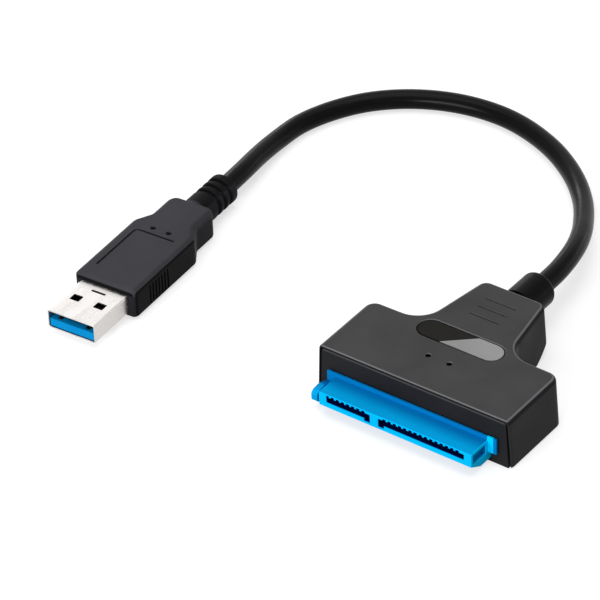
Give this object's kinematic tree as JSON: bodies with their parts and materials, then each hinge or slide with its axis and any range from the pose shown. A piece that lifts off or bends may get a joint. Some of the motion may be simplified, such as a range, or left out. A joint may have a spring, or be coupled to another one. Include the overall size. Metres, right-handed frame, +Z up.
{
  "type": "drive adapter cable",
  "caption": "Short adapter lead: a flat drive socket in a shouldered housing, a free round cable, and a flat data plug with a metal shell and a ribbed boot.",
  "frame": {"origin": "on the surface the lead lies on, under the middle of the socket end, from the drive connector's front face to the end of the cable collar", "axes": "+Y runs from the drive connector's open side back through the housing to the cable collar, +X along the connector's width with the plug on the -X side, +Z up from the surface"},
  "size_m": [0.1101, 0.1183, 0.0119],
  "materials": {
    "housing_plastic": "matte, fine grain",
    "plug_plastic": "matte, fine grain",
    "cable_jacket": "satin",
    "connector_blue": "satin",
    "plug_metal": "bright plated",
    "contact_gold": "plated",
    "board_green": "solder mask",
    "inner_mould": "matte",
    "badge_inlay": "two-tone, satin",
    "chip_black": "matte",
    "crystal_can": "satin",
    "inductor_core": "matte",
    "led_lens": "clear",
    "light_guide": "clear",
    "core_ground": "satin",
    "core_supply": "satin",
    "core_data_plus": "satin",
    "core_data_minus": "satin",
    "core_fast_out_pair": "satin",
    "core_fast_in_pair": "satin"
  },
  "bodies": {
    "root": {"access_led": "led_lens", "access_light_guide": "light_guide", "badge_inlay": "badge_inlay", "bridge_chip": "chip_black", "cable": "cable_jacket", "cable_collar": "cable_jacket", "circuit_board": "board_green", "core_data_minus": "core_data_minus", "core_data_plus": "core_data_plus", "core_fast_in_pair": "core_fast_in_pair", "core_fast_out_pair": "core_fast_out_pair", "core_ground": "core_ground", "core_supply": "core_supply", "crystal": "crystal_can", "flash_chip": "chip_black", "front_contact_1": "contact_gold", "front_contact_2": "contact_gold", "front_contact_3": "contact_gold", "front_contact_4": "contact_gold", "front_frame": "housing_plastic", "inductor": "inductor_core", "lower_shell": "housing_plastic", "plug_inner_mould": "inner_mould", "plug_insulator": "connector_blue", "plug_moulding": "plug_plastic", "plug_shell": "plug_metal", "power_contact_1": "contact_gold", "power_contact_10": "contact_gold", "power_contact_11": "contact_gold", "power_contact_12": "contact_gold", "power_contact_13": "contact_gold", "power_contact_14": "contact_gold", "power_contact_15": "contact_gold", "power_contact_2": "contact_gold", "power_contact_3": "contact_gold", "power_contact_4": "contact_gold", "power_contact_5": "contact_gold", "power_contact_6": "contact_gold", "power_contact_7": "contact_gold", "power_contact_8": "contact_gold", "power_contact_9": "contact_gold", "power_led": "led_lens", "power_light_guide": "light_guide", "rear_contact_1": "contact_gold", "rear_contact_2": "contact_gold", "rear_contact_3": "contact_gold", "rear_contact_4": "contact_gold", "rear_contact_5": "contact_gold", "regulator": "chip_black", "signal_contact_1": "contact_gold", "signal_contact_2": "contact_gold", "signal_contact_3": "contact_gold", "signal_contact_4": "contact_gold", "signal_contact_5": "contact_gold", "signal_contact_6": "contact_gold", "signal_contact_7": "contact_gold", "socket_insulator": "connector_blue", "upper_shell": "housing_plastic"}
  },
  "joints": []
}
